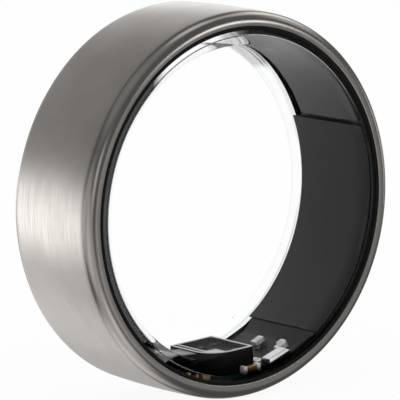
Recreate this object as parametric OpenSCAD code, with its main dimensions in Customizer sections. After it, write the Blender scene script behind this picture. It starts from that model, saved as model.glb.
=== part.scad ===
// Smart ring: a metal band round a clear moulded inner sleeve, with curved electronics sealed between them.
// The ring stands upright with its axis along Y, its front edge towards -Y and its sensor at the bottom.
// Every piece is drawn flat, with the axis along Z and angles counted from the sensor side, then stood up.

/* [Ring] */
// Finger size, the diameter of the bore
bore_d = 20.6; // [18:0.1:23]
// Wall of the whole ring, from the bore to the crown
ring_t = 2.335; // [2.2:0.005:2.8]
// Width of the ring along the finger
ring_w = 8.1; // [7.8:0.1:9]

/* [Metal band] */
// Metal wall at the crown
shell_wall = 0.535; // [0.45:0.005:0.65]
// Fall of the crown from mid-width to the shoulder
crown_drop = 0.075; // [0.03:0.005:0.15]
// Radial reach of the shoulder curve
shoulder_a = 0.783; // [0.6:0.001:0.85]
// Axial reach of the shoulder curve
shoulder_b = 0.831; // [0.6:0.001:0.95]
// Angle at which the shoulder curve leaves the crown in a crisp line
shoulder_start = 14; // [5:1:25]
// Depth of the lip that holds the sleeve
lip_depth = 0.495; // [0.4:0.005:0.6]
// Thickness of the lip along the finger
lip_t = 0.55; // [0.4:0.01:0.7]
// Fillet of the lip's inner corner
lip_round = 0.05; // [0.02:0.01:0.1]
// Sealing bead between lip and sleeve, black in front and clear at the rear
seal_w = 0.22; // [0.15:0.01:0.3]
// Depth of the bead below the flat edge
seal_recess = 0.03; // [0.01:0.01:0.08]

/* [Clear sleeve] */
// Axial reach of the comfort curve at each mouth of the bore
comfort_len = 1.0; // [0.6:0.05:1.4]
// Flat end of the sleeve beside the bead
sleeve_end_w = 0.05; // [0.03:0.01:0.15]
// Height of the flat sensor plateau above the bore
plateau_rise = 0.8; // [0.6:0.05:1]
// Clear cover over the sensor block
sensor_cover = 0.34; // [0.25:0.01:0.45]

/* [Layers] */
// Black insulating lining inside the metal
lining_t = 0.05; // [0.03:0.01:0.08]
// Stiffeners behind the flexible circuit
stiffener_t = 0.08; // [0.05:0.01:0.12]
// Flexible circuit
flex_t = 0.1; // [0.08:0.01:0.15]
// Margin of the flexible circuit inside the film's edges
flex_margin = 0.25; // [0.2:0.01:0.4]
// Magnetic sheet behind the charging coil
ferrite_t = 0.2; // [0.1:0.01:0.22]
// Charging coil
coil_t = 0.22; // [0.12:0.01:0.24]
// Width of the coil's winding
coil_wind_w = 1.3; // [1:0.1:1.6]
// Black film over the charging coil
film_t = 0.08; // [0.05:0.01:0.1]
// Length of the black film round the ring
film_len = 15.5; // [12:0.25:17]

/* [Battery] */
// Margin of the cell inside the film's front edge
battery_front = 0.27; // [0.2:0.01:0.6]
// Margin of the cell inside the film's rear edge
battery_rear = 1.05; // [0.4:0.05:1.4]
// Bevel along the cell's folded edges
battery_bevel = 0.15; // [0.08:0.01:0.2]
// Wrap over the cell
wrap_t = 0.05; // [0.03:0.01:0.08]
// Dark seam between film and cell
battery_seam = 0.35; // [0.25:0.05:0.6]
// Length of the two tabs
tab_len = 1.3; // [1:0.1:1.6]
// Width of each tab
tab_w = 0.8; // [0.6:0.1:1]
// Length of the protection board
protect_len = 2.6; // [2.2:0.1:3]
// Width of the protection board
protect_w = 4.6; // [4:0.1:5.2]

/* [Sensor] */
// Place of the sensor block along the floor
sensor_s = 0.72; // [0:0.01:1.2]
// Sensor block round the ring
sensor_l = 3.5; // [3.2:0.1:3.8]
// Room before and behind the block on the flexible circuit
sensor_margin = 1.075; // [0.9:0.005:1.2]
// Rounded front corner of the block
sensor_round = 1.7; // [1:0.1:2]
// Wall of the light barrier
barrier_t = 0.16; // [0.12:0.01:0.2]
// Depth of the wells for the light parts
well_depth = 0.4; // [0.3:0.01:0.5]
// Pale border on the barrier
border_w = 0.12; // [0.1:0.01:0.15]
// Thickness of the pale border
border_t = 0.05; // [0.04:0.01:0.08]
// Sensor's own board
sensor_board_t = 0.2; // [0.15:0.01:0.25]
// Rim of that board round the block
sensor_board_rim = 0.15; // [0.1:0.01:0.2]
// Gap between the light-sensing die and the light-emitting ones
die_gap = 0.55; // [0.4:0.05:0.7]
// Side of each light-emitting die
led_size = 0.5; // [0.4:0.05:0.6]

/* [Chips] */
// Processor, a square chip
processor_l = 2.8; // [2.4:0.1:3]
// Motion sensor round the ring
motion_l = 2.5; // [2.2:0.1:2.8]
// Motion sensor along the finger
motion_w = 3.0; // [2.6:0.1:3.2]
// Memory chip round the ring
memory_l = 2.0; // [1.6:0.1:2.4]
// Memory chip along the finger
memory_w = 3.0; // [2.6:0.1:3.4]
// Power chip, a square chip
power_l = 1.9; // [1.6:0.1:2.2]
// Height of the chips
chip_h = 0.32; // [0.25:0.01:0.34]
// Crystal can round the ring
crystal_l = 2.0; // [1.8:0.1:2.2]
// Crystal can along the finger
crystal_w = 1.25; // [1:0.05:1.4]
// Crystal can with its base
crystal_h = 0.72; // [0.6:0.01:0.8]
// Small capacitors round the ring
cap_l = 0.8; // [0.6:0.05:1]
// Small capacitors along the finger
cap_w = 0.5; // [0.4:0.05:0.6]
// Small capacitors' height
cap_h = 0.4; // [0.3:0.01:0.45]
// Gold-bodied capacitor round the ring
gold_l = 1.4; // [1.2:0.1:1.6]
// Gold-bodied capacitor along the finger
gold_w = 0.5; // [0.4:0.05:0.55]
// Gold-bodied capacitor's height
gold_h = 0.5; // [0.4:0.01:0.55]
// Length of the gold contact
pad_l = 0.6; // [0.5:0.05:0.8]
// Height of the gold contacts
pad_h = 0.6; // [0.4:0.01:0.65]

/* [Hidden] */
$fn = 180;

// Clearances
layer_gap = 0.03;
part_gap = 0.2;
cut_over = 0.5;
edge_gap = 0.05;

// Radii, from the metal inwards
bore_r = bore_d / 2;
crown_r = bore_r + ring_t;
half_w = ring_w / 2;
shell_in_r = crown_r - shell_wall;
lip_r = shell_in_r - lip_depth;
land_r = crown_r - crown_drop - shoulder_a * cos(shoulder_start);
lining_r = shell_in_r - layer_gap;
lining_in_r = lining_r - lining_t;
stiffener_r = lining_in_r - layer_gap;
flex_r = stiffener_r - stiffener_t - layer_gap;
floor_r = flex_r - flex_t;
coil_r = stiffener_r - ferrite_t - layer_gap;
high_flex_r = coil_r - coil_t - layer_gap;
film_r = high_flex_r - flex_t - layer_gap;
film_in_r = film_r - film_t;
sleeve_r = film_in_r - layer_gap;
wrap_in_r = film_in_r;
cell_in_r = wrap_in_r + wrap_t + layer_gap;
seal_r = lip_r - layer_gap;
seal_in_r = seal_r - seal_w;
sleeve_end_r = seal_in_r - layer_gap;
plateau_r = bore_r - plateau_rise;

// Widths
film_half_w = half_w - lip_t - edge_gap;
sleeve_half_w = half_w - 2 * seal_recess;
flex_half_w = film_half_w - flex_margin;
flex_w = 2 * flex_half_w;
cell_low = battery_rear - film_half_w;
cell_high = film_half_w - battery_front;
cell_mid = (cell_low + cell_high) / 2;
sensor_w = 2 * (flex_half_w - sensor_margin);

// Sensor block
sensor_top_r = plateau_r + sensor_cover;
sensor_board_r = seat_r(sensor_l + 2 * sensor_board_rim, floor_r);
sensor_base_r = sensor_board_r - sensor_board_t;
sensor_h = sensor_base_r - sensor_top_r - border_t;
window_t = border_t;
bar_inset = 2 * border_w;
well_u = 2 * barrier_t + bar_inset - sensor_l / 2;
die_h = 0.12;
led_u = sensor_l / 2 - barrier_t - part_gap - led_size / 2;
led_v = sensor_w / 4;
diode_u = well_u + layer_gap;
diode_l = led_u - led_size / 2 - die_gap - diode_u;
diode_w = sensor_w / 2 - barrier_t - sensor_round / 3;
gold_gap = 0.12;
sensor_board_front = gold_gap + gold_w + edge_gap;
gold_u = sensor_l / 2 + sensor_board_rim - edge_gap - gold_l / 2;
gold_v = sensor_w / 2 + gold_gap + gold_w / 2;

// Places along the floor, in arc length from the bottom of the ring
sensor_clear = 0.8;
stack_gap = 0.1;
spare_s = sensor_s + sensor_l / 2 + sensor_clear + cap_w / 2;
crystal_s = sensor_s + sensor_l / 2 + sensor_clear + crystal_l / 2;
beside_s = crystal_s + crystal_l / 2 + cap_l / 2;
step_s = beside_s + cap_l / 2 + stack_gap;
step_len = 1.3;
film_s = step_s + step_len;
pad_clear = 1.1;
pads_s = sensor_s - sensor_l / 2 - pad_clear - pad_l / 2;
tail_len = 3.2;
column_w = cap_w + 2 * part_gap;
power_s = sensor_s - sensor_l / 2 - tail_len - 2 * part_gap - power_l / 2;
motion_s = power_s - power_l / 2 - column_w - motion_l / 2;
processor_s = motion_s - motion_l / 2 - column_w - processor_l / 2;
memory_s = processor_s - processor_l / 2 - column_w - memory_l / 2;
board_end_s = memory_s - memory_l / 2 - column_w;
protect_s = board_end_s - part_gap - protect_len / 2;

// Angles round the ring
film_start = turn(film_s);
film_end = turn(film_s + film_len);
cell_start = turn(film_s + film_len + battery_seam);
cell_end = 360 + turn(protect_s - protect_len / 2 - tab_len / 2);

// Crystal can, small parts and pads
crystal_z = flex_half_w - (part_gap + crystal_w) / 2;
beside_z = crystal_z - crystal_w / 2 - part_gap - cap_w / 2;
crystal_base_h = crystal_h / 3;
crystal_rim = 0.1;
crystal_bevel = 0.16;
cap_end_l = cap_l / 4;
gold_end_l = gold_l / 5;
gold_rim = 0.04;
dot_d = 0.28;
dot_pitch = 0.74;
pad_z = flex_half_w - dot_d;
inductor_l = 1.2;
inductor_w = 1.6;
resistor_l = 0.6;
resistor_w = 0.3;
resistor_h = 0.25;
thermistor_l = 0.7;
protect_t = 0.12;
tab_t = 0.08;
antenna_w = 0.36;
antenna_t = 0.06;
tail_t = 0.1;
tail_share = 0.4;
tail_w = tail_share * sensor_w;
tail_shift = tail_w / 6;
tail_lift = 0.25;
tail_bend = 0.72;

// Small capacitors beside the crystal: place round the ring, place along the finger
near_caps = [[beside_s - part_gap, -part_gap - cap_w], [beside_s, beside_z]];
// Columns of small parts between the hidden chips, with their places as shares of the circuit's width
cap_columns = [power_s - (power_l + column_w) / 2, processor_s - (processor_l + column_w) / 2];
resistor_columns = [motion_s - (motion_l + column_w) / 2, memory_s - (memory_l + column_w) / 2];
cap_shares = [-0.375, -0.125, 0.125, 0.375];
resistor_shares = [-0.36, -0.18, 0, 0.18, 0.36];

function turn(s) = s / floor_r * 180 / PI;
function seat_r(l, r) = sqrt(r * r - l * l / 4) - layer_gap;
function polar(r, a) = [r * cos(a), r * sin(a)];
function flip(points) = [for (i = [len(points) - 1 : -1 : 0]) [points[i][0], -points[i][1]]];

// Frames and repeated shapes
module upright() {
    rotate([90, 90, 0]) children();
}

module arc_band(r_in, r_out, from, to, low, high) {
    rotate([0, 0, from]) rotate_extrude(angle = to - from)
        translate([r_in, low]) square([r_out - r_in, high - low]);
}

module whole_band(r_in, r_out, low, high) {
    rotate_extrude() translate([r_in, low]) square([r_out - r_in, high - low]);
}

// Carries a piece drawn on a flat board to its place: x runs round the ring, y along the finger, z outwards
module on_board(s, r, z = 0) {
    rotate([0, 0, turn(s)]) translate([r, 0, z]) rotate([90, 0, 90]) children();
}

module brick(l, w, h, lift = 0) {
    translate([-l / 2, -w / 2, -h - lift]) cube([l, w, h]);
}

module chip(s, z, l, w, h) {
    on_board(s, seat_r(l, floor_r), z) brick(l, w, h);
}

// Metal band
module outer_shell() {
    crease_z = half_w - shoulder_b * (1 - sin(shoulder_start));
    crown = [for (k = [0 : 6]) let (z = crease_z * k / 6) [crown_r - crown_drop * pow(z / crease_z, 2), z]];
    shoulder = [for (a = [shoulder_start : (90 - shoulder_start) / 8 : 90 + shoulder_start / 90])
        [land_r + shoulder_a * cos(a), half_w - shoulder_b * (1 - sin(a))]];
    lip = [for (a = [90 : 30 : 180]) [lip_r + lip_round * (1 + cos(a)), half_w - lip_round * (1 - sin(a))]];
    channel = [[lip_r, half_w - lip_t], [shell_in_r, half_w - lip_t]];
    half = concat(crown, [for (i = [1 : len(shoulder) - 1]) shoulder[i]], lip, channel);
    color("#8e8984") upright() rotate_extrude()
        polygon(concat(half, [for (i = [len(half) - 1 : -1 : 1]) [half[i][0], -half[i][1]]]));
}

// Clear sleeve
module sleeve_section(bore) {
    mouth_r = sleeve_end_r - sleeve_end_w;
    curve = [for (a = [90 : -10 : 0])
        [mouth_r - (mouth_r - bore) * cos(a), sleeve_half_w - comfort_len * (1 - sin(a))]];
    half = concat([[sleeve_r, film_half_w + layer_gap], [sleeve_end_r, film_half_w + layer_gap],
        [sleeve_end_r, sleeve_half_w]], curve);
    polygon(concat(half, flip(half)));
}

module sensor_outline(grow) {
    l = sensor_l + 2 * grow;
    w = sensor_w + 2 * grow;
    r = sensor_round + grow;
    translate([r - l / 2, -w / 2]) square([l - r, w]);
    translate([-l / 2, -w / 2]) square([l, w - r]);
    translate([r - l / 2, w / 2 - r]) circle(r);
}

module inner_moulding() {
    chord = sqrt(bore_r * bore_r - plateau_r * plateau_r) + cut_over;
    color("#dfe6e8", 0.45) upright() difference() {
        union() {
            rotate_extrude() sleeve_section(bore_r);
            intersection() {
                rotate_extrude() sleeve_section(plateau_r - cut_over);
                rotate([0, 0, turn(sensor_s)]) translate([plateau_r, -chord, -half_w])
                    cube([ring_t + plateau_rise, 2 * chord, ring_w]);
            }
        }
        on_board(sensor_s, sensor_top_r - layer_gap) linear_extrude(ring_t) sensor_outline(layer_gap);
        on_board(crystal_s, seat_r(crystal_l, floor_r) - crystal_h - layer_gap, crystal_z)
            translate([-crystal_l / 2 - layer_gap, -crystal_w / 2 - layer_gap])
                cube([crystal_l + 2 * layer_gap, crystal_w + 2 * layer_gap, crystal_h]);
        gold_place() brick(gold_l + 2 * layer_gap, gold_w + 2 * layer_gap, gold_h + layer_gap);
        each_contact(layer_gap);
        on_board(sensor_s, sensor_top_r) sensor_tail(layer_gap);
    }
}

// Sealing beads
module bead() {
    whole_band(seal_in_r, seal_r, half_w - lip_t, half_w - seal_recess);
}

module front_seal() {
    color("#0b0b0c") upright() bead();
}

module rear_seal() {
    color("#dfe6e8", 0.45) upright() mirror([0, 0, 1]) bead();
}

// Lining, film, coil and sheet
module insulating_lining() {
    color("#101011") upright() whole_band(lining_in_r, lining_r, -film_half_w, film_half_w);
}

module liner_film() {
    color("#2f2f30") upright() arc_band(film_in_r, film_r, film_start, film_end, -film_half_w, film_half_w);
}

module racetrack(l, w) {
    r = w / 2;
    translate([r - l / 2, -r]) square([l - w, w]);
    for (side = [-1, 1]) translate([side * (l / 2 - r), 0]) circle(r);
}

module charging_coil() {
    l = film_len - 4 * part_gap;
    w = flex_w - 2 * part_gap;
    middle = (film_start + film_end) / 2;
    chord = 2 * coil_r * sin(turn(l) / 2);
    color("#a7643a") upright() intersection() {
        arc_band(coil_r - coil_t, coil_r, film_start, film_end, -film_half_w, film_half_w);
        rotate([0, 0, middle]) translate([bore_r / 2, 0, 0]) rotate([90, 0, 90]) linear_extrude(crown_r)
            difference() {
                racetrack(chord, w);
                racetrack(chord - 2 * coil_wind_w, w - 2 * coil_wind_w);
            }
    }
}

module ferrite_sheet() {
    color("#3a3a3d") upright() arc_band(stiffener_r - ferrite_t, stiffener_r, film_start, film_end,
        -flex_half_w, flex_half_w);
}

// Battery
module battery_cell() {
    color("#6f6f72") upright() rotate([0, 0, cell_start]) rotate_extrude(angle = cell_end - cell_start)
        polygon([[cell_in_r, cell_low + battery_bevel], [cell_in_r + battery_bevel, cell_low],
            [stiffener_r - battery_bevel, cell_low], [stiffener_r, cell_low + battery_bevel],
            [stiffener_r, cell_high - battery_bevel], [stiffener_r - battery_bevel, cell_high],
            [cell_in_r + battery_bevel, cell_high], [cell_in_r, cell_high - battery_bevel]]);
}

module battery_wrap() {
    low = cell_low - layer_gap;
    high = cell_high + layer_gap;
    skirt_r = (cell_in_r + stiffener_r) / 2;
    color("#4b4b4d") upright() {
        arc_band(wrap_in_r, wrap_in_r + wrap_t, cell_start, cell_end, low - wrap_t, high + wrap_t);
        arc_band(wrap_in_r, skirt_r, cell_start, cell_end, low - wrap_t, low);
        arc_band(wrap_in_r, skirt_r, cell_start, cell_end, high, high + wrap_t);
    }
}

module battery_tabs() {
    mid_r = (cell_in_r + stiffener_r) / 2;
    color("#b9bbbd") upright() for (side = [-1, 1])
        arc_band(mid_r - tab_t / 2, mid_r + tab_t / 2, cell_end, cell_end + turn(tab_len),
            cell_mid + side * tab_w - tab_w / 2, cell_mid + side * tab_w + tab_w / 2);
}

module protection_board() {
    mid_r = (cell_in_r + stiffener_r) / 2 + tab_t / 2 + layer_gap;
    a = turn(protect_s);
    span = turn(protect_len) / 2;
    color("#1f4a33") upright() arc_band(mid_r, mid_r + protect_t, a - span, a + span,
        -protect_w / 2, protect_w / 2);
}

module protection_chip() {
    mid_r = (cell_in_r + stiffener_r) / 2 + tab_t / 2 + layer_gap;
    side = (protect_len - tab_len) / 2 + part_gap;
    color("#161617") upright() on_board(protect_s + protect_len / 2 - part_gap - side / 2,
        seat_r(side, mid_r)) brick(side, protect_w / 3, cap_h / 2);
}

// Flexible circuit with its step up to the coil
module flex_circuit() {
    high_in_r = high_flex_r - flex_t;
    fold_t = flex_t / 4;
    low_a = turn(step_s - edge_gap);
    high_a = turn(film_s + edge_gap);
    color("#26262a") upright() union() {
        arc_band(floor_r, flex_r, turn(board_end_s), turn(step_s), -flex_half_w, flex_half_w);
        translate([0, 0, edge_gap - flex_half_w]) linear_extrude(flex_w - 2 * edge_gap)
            polygon([polar(floor_r + fold_t, low_a), polar(flex_r - fold_t, low_a),
                polar(high_flex_r - fold_t, high_a), polar(high_in_r + fold_t, high_a)]);
        arc_band(high_in_r, high_flex_r, film_start, film_end, -flex_half_w, flex_half_w);
    }
}

module stiffeners() {
    islands = [[sensor_s, sensor_l + 2 * sensor_board_rim], [power_s, power_l], [motion_s, motion_l],
        [processor_s, processor_l], [memory_s, memory_l]];
    color("#8a7a4a") upright() for (island = islands) {
        a = turn(island[0]);
        span = turn(island[1]) / 2;
        arc_band(stiffener_r - stiffener_t, stiffener_r, a - span, a + span, -flex_half_w, flex_half_w);
    }
}

// Chips
module processor_chip() {
    color("#18181a") upright() chip(processor_s, 0, processor_l, processor_l, chip_h);
}

module memory_chip() {
    color("#1c1c1e") upright() chip(memory_s, 0, memory_l, memory_w, chip_h);
}

module power_chip() {
    color("#1a1a1c") upright() chip(power_s, (part_gap + power_l) / 2, power_l, power_l, chip_h);
}

module motion_sensor() {
    color("#303033") upright() chip(motion_s, 0, motion_l, motion_w, chip_h);
}

module temperature_sensor() {
    color("#c9c4b8") upright() chip(pads_s - pad_l, part_gap + thermistor_l - flex_half_w,
        thermistor_l, thermistor_l, chip_h);
}

module power_inductor() {
    color("#4a4642") upright() chip(power_s, -(part_gap + inductor_w) / 2, inductor_l, inductor_w, chip_h);
}

// Crystal in its metal can
module crystal_base() {
    color("#2b2a2a") upright() on_board(crystal_s, seat_r(crystal_l, floor_r), crystal_z)
        brick(crystal_l, crystal_w, crystal_base_h);
}

module crystal_can() {
    l = crystal_l - 2 * crystal_rim;
    w = crystal_w - 2 * crystal_rim;
    h = crystal_h - crystal_base_h;
    color("#d8d8dc") upright() on_board(crystal_s, seat_r(crystal_l, floor_r) - crystal_base_h, crystal_z)
        intersection() {
            translate([-l / 2, 0, 0]) rotate([90, 0, 90]) linear_extrude(l)
                polygon([[-w / 2, 0], [w / 2, 0], [w / 2, crystal_bevel - h],
                    [w / 2 - crystal_bevel, -h], [crystal_bevel - w / 2, -h], [-w / 2, crystal_bevel - h]]);
            translate([0, w / 2, 0]) rotate([90, 0, 0]) linear_extrude(w)
                polygon([[-l / 2, 0], [l / 2, 0], [l / 2, crystal_bevel - h],
                    [l / 2 - crystal_bevel, -h], [crystal_bevel - l / 2, -h], [-l / 2, crystal_bevel - h]]);
        }
}

// Small capacitors, resistors and the gold-bodied one
module each_cap() {
    on_board(spare_s, seat_r(cap_w, floor_r), beside_z + (cap_w - cap_l) / 2) rotate([0, 0, 90]) children();
    for (place = near_caps) on_board(place[0], seat_r(cap_l, floor_r), place[1]) children();
    for (s = cap_columns, share = cap_shares)
        on_board(s, seat_r(cap_w, floor_r), share * flex_w) rotate([0, 0, 90]) children();
}

module capacitor_bodies() {
    color("#b8b2a6") upright() each_cap() brick(cap_l - 2 * cap_end_l, cap_w, cap_h);
}

module capacitor_ends() {
    color("#e6e6e6") upright() each_cap() for (side = [-1, 1])
        translate([side * (cap_l - cap_end_l) / 2, 0, 0]) brick(cap_end_l, cap_w, cap_h);
}

module gold_place() {
    on_board(sensor_s, sensor_base_r, gold_v) translate([gold_u, 0, 0]) children();
}

module gold_capacitor_body() {
    color("#8c7a3c") upright() gold_place()
        brick(gold_l - 2 * gold_end_l, gold_w - 2 * gold_rim, gold_h - 2 * gold_rim, gold_rim);
}

module gold_capacitor_ends() {
    color("#e9e2c8") upright() gold_place() for (side = [-1, 1])
        translate([side * (gold_l - gold_end_l) / 2, 0, 0]) brick(gold_end_l, gold_w, gold_h);
}

module chip_resistors() {
    color("#141416") upright() for (s = resistor_columns, share = resistor_shares)
        on_board(s, seat_r(resistor_w, floor_r), share * flex_w) brick(resistor_w, resistor_l, resistor_h);
}

// Gold contacts that stand on the circuit: one long and two round
module each_contact(grow) {
    on_board(pads_s, seat_r(pad_l, floor_r), pad_z)
        brick(pad_l + 2 * grow, dot_d + 2 * grow, pad_h + grow);
    for (k = [1 : 2]) on_board(pads_s - k * dot_pitch, seat_r(dot_d, floor_r) - pad_h - grow, pad_z)
        cylinder(pad_h + grow, d = dot_d + 2 * grow);
}

module contact_pads() {
    color("#b89a4a") upright() each_contact(0);
}

module antenna_strip() {
    color("#b4763f") upright() arc_band(film_in_r, film_in_r + antenna_t, turn(board_end_s),
        turn(power_s), -film_half_w, antenna_w - film_half_w);
}

// Sensor module
module sensor_board() {
    color("#15251c") upright() on_board(sensor_s, sensor_board_r)
        translate([-sensor_l / 2 - sensor_board_rim, -sensor_w / 2 - sensor_board_rim, -sensor_board_t])
            cube([sensor_l + 2 * sensor_board_rim, sensor_w + sensor_board_rim + sensor_board_front,
                sensor_board_t]);
}

module sensor_wells() {
    intersection() {
        sensor_outline(-barrier_t);
        union() {
            translate([-sensor_l / 2, -sensor_w / 2]) square([barrier_t + bar_inset, sensor_w]);
            translate([2 * barrier_t + bar_inset - sensor_l / 2, -sensor_w / 2]) square([sensor_l, sensor_w]);
        }
    }
}

module sensor_block() {
    color("#0e0e0f") upright() on_board(sensor_s, sensor_top_r + border_t) difference() {
        linear_extrude(sensor_h) sensor_outline(0);
        translate([0, 0, -cut_over]) linear_extrude(well_depth + cut_over) sensor_wells();
    }
}

module sensor_frame() {
    color("#c9c8c4") upright() on_board(sensor_s, sensor_top_r) linear_extrude(border_t) difference() {
        sensor_outline(0);
        sensor_wells();
    }
}

module sensor_window() {
    color("#1b1b1d", 0.8) upright() on_board(sensor_s, sensor_top_r) linear_extrude(window_t)
        intersection() {
            sensor_wells();
            sensor_outline(-barrier_t - layer_gap);
        }
}

module die(u, v, l, w) {
    on_board(sensor_s, sensor_top_r + border_t + well_depth - die_h) translate([u - l / 2, v - w / 2, 0])
        cube([l, w, die_h]);
}

module photodiode() {
    color("#9a9aa0") upright() die(diode_u + diode_l / 2, diode_w / 2, diode_l, diode_w);
}

module green_led() {
    color("#7fd08a") upright() die(led_u, led_v, led_size, led_size);
}

module red_led() {
    color("#d0655a") upright() die(led_u, -led_v, led_size, led_size);
}

module infrared_led() {
    color("#6a5560") upright() die((well_u + led_u) / 2, -led_v, led_size, led_size);
}

// Flexible tail from the sensor block down to the circuit, drawn from the block's top
module sensor_tail(grow) {
    near = -sensor_l / 2 - layer_gap;
    far = near - tail_len;
    foot = sqrt(floor_r * floor_r - far * far) - sensor_top_r - edge_gap;
    bend = near - tail_bend * tail_len;
    rise = tail_t - tail_lift;
    top = [[near + grow, tail_t - grow], [bend, rise - grow], [far, foot - 1.5 * tail_t - grow]];
    under = [[far, foot + grow], [bend + tail_t / 2, rise + tail_t + grow],
        [near + grow, 2 * tail_t + grow]];
    translate([0, tail_w / 2 + grow - tail_shift, 0]) rotate([90, 0, 0]) linear_extrude(tail_w + 2 * grow)
        polygon(concat(top, under));
}

module sensor_flex() {
    color("#6d6d6f") upright() on_board(sensor_s, sensor_top_r) sensor_tail(0);
}

outer_shell();
inner_moulding();
front_seal();
rear_seal();
insulating_lining();
liner_film();
charging_coil();
ferrite_sheet();
battery_cell();
battery_wrap();
battery_tabs();
protection_board();
protection_chip();
flex_circuit();
stiffeners();
processor_chip();
memory_chip();
power_chip();
motion_sensor();
temperature_sensor();
crystal_base();
crystal_can();
capacitor_bodies();
capacitor_ends();
gold_capacitor_body();
gold_capacitor_ends();
chip_resistors();
power_inductor();
contact_pads();
antenna_strip();
sensor_board();
sensor_block();
sensor_frame();
sensor_window();
photodiode();
green_led();
red_led();
infrared_led();
sensor_flex();
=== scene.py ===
import math
import bpy
import bmesh
from mathutils import Matrix, Vector


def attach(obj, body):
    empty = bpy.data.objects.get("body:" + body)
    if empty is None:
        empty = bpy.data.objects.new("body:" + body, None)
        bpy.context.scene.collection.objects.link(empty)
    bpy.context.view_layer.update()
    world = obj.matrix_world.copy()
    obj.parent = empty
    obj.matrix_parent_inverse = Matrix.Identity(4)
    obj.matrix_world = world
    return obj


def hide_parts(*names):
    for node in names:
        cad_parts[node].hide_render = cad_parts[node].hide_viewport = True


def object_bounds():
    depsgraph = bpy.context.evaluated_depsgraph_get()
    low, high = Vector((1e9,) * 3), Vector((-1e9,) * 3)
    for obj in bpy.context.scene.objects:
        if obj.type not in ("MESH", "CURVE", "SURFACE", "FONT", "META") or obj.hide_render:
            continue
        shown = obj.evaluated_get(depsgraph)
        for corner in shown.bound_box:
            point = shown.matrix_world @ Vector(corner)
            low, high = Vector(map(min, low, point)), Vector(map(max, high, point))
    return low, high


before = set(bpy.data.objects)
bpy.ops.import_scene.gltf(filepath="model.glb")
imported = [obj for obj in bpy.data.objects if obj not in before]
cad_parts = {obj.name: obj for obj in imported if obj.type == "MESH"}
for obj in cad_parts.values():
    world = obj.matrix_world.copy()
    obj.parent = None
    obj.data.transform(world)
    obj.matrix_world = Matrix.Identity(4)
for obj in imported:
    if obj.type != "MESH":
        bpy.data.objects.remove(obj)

cadLow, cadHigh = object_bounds()
mm = 0.001
fullTurn = 2 * math.pi

# How every mesh is made, with angles in degrees
meshing = dict(sharp=35, weld=0.001 * mm, flat=1, bevelFrom=25, bevelSteps=2, corner=0.02 * mm,
               cornerSteps=3, cornerRoom=2.2, sameSize=0.02 * mm, samePlace=6, sameAngle=1e-6,
               wholeFrom=0.95)


# The ring stands with its axis along Y. Angles count from the bottom towards +X, depths run along Y
def ringPoint(radius, angle, depth):
    return Vector((radius * math.sin(angle), depth, -radius * math.cos(angle)))


# Reach of a CAD node round the ring: inner and outer radius, first and last angle, lowest and highest depth
def arcOf(node, wrapAt=-180):
    points = [v.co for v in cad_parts[node].data.vertices]
    radii = [math.hypot(p.x, p.z) for p in points]
    low = math.radians(wrapAt)
    angles = [(math.atan2(p.x, -p.z) - low) % fullTurn + low for p in points]
    depths = [p.y for p in points]
    return dict(inner=min(radii), outer=max(radii), start=min(angles), end=max(angles),
                low=min(depths), high=max(depths))


# Mesh helpers
def finishPiece(name, mesh, material, sharpAngle=meshing["sharp"]):
    mesh.shade_smooth()
    mesh.set_sharp_from_angle(angle=math.radians(sharpAngle))
    mesh.materials.clear()
    mesh.materials.append(material)
    piece = bpy.data.objects.new(name, mesh)
    bpy.context.scene.collection.objects.link(piece)
    return piece


# A finished piece stands for its CAD node and rides on the ring's one body
def handOver(piece, node):
    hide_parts(node)
    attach(piece, "root")


def faceOutwards(mesh):
    work = bmesh.new()
    work.from_mesh(mesh)
    bmesh.ops.recalc_face_normals(work, faces=work.faces)
    work.to_mesh(mesh)
    work.free()


def addMesh(name, verts, faces, material, sharpAngle=meshing["sharp"]):
    mesh = bpy.data.meshes.new(name)
    mesh.from_pydata(verts, [], faces)
    faceOutwards(mesh)
    return finishPiece(name, mesh, material, sharpAngle)


# Skins sections round the ring: section(angle) gives the same number of (radius, depth) points each time
def sweepSections(name, section, start, end, steps, material, sharpAngle=meshing["sharp"]):
    whole = abs(end - start - fullTurn) < meshing["sameAngle"]
    rings = steps if whole else steps + 1
    verts = []
    for k in range(rings):
        angle = start + (end - start) * k / steps
        verts += [ringPoint(r, angle, d) for r, d in section(angle)]
    count = len(verts) // rings
    faces = []
    for k in range(steps):
        here, there = k * count, ((k + 1) % rings) * count
        for i in range(count):
            j = (i + 1) % count
            faces.append((here + i, here + j, there + j, there + i))
    if not whole:
        faces.append(tuple(range(count)))
        faces.append(tuple(range((rings - 1) * count, rings * count)))
    return addMesh(name, verts, faces, material, sharpAngle)


# Section of a flat band with rounded corners, which are smaller where the band is thin
def bandSection(inner, outer, low, high, corner=meshing["corner"]):
    c = min(corner, (outer - inner) / meshing["cornerRoom"])
    steps = meshing["cornerSteps"]
    loop = []
    for r, d, first in ((inner + c, low + c, 180), (outer - c, low + c, 270), (outer - c, high - c, 0),
                        (inner + c, high - c, 90)):
        for step in range(steps + 1):
            a = math.radians(first + 90 * step / steps)
            loop.append((r + c * math.cos(a), d + c * math.sin(a)))
    return loop


# The plain mesh of a draft with its modifiers done
def bakedMesh(draft):
    graph = bpy.context.evaluated_depsgraph_get()
    mesh = bpy.data.meshes.new_from_object(draft.evaluated_get(graph))
    bpy.data.objects.remove(draft)
    return mesh


# Nodes of every kind of tree. The result of another node is linked to an input, anything else is its value
def feed(tree, node, values):
    for key, value in values.items():
        if isinstance(value, bpy.types.NodeSocket):
            tree.links.new(value, node.inputs[key])
        else:
            node.inputs[key].default_value = value


def addNode(tree, kind, values=None, **options):
    node = tree.nodes.new(kind)
    for option, setting in options.items():
        setattr(node, option, setting)
    feed(tree, node, values or {})
    return node


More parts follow.
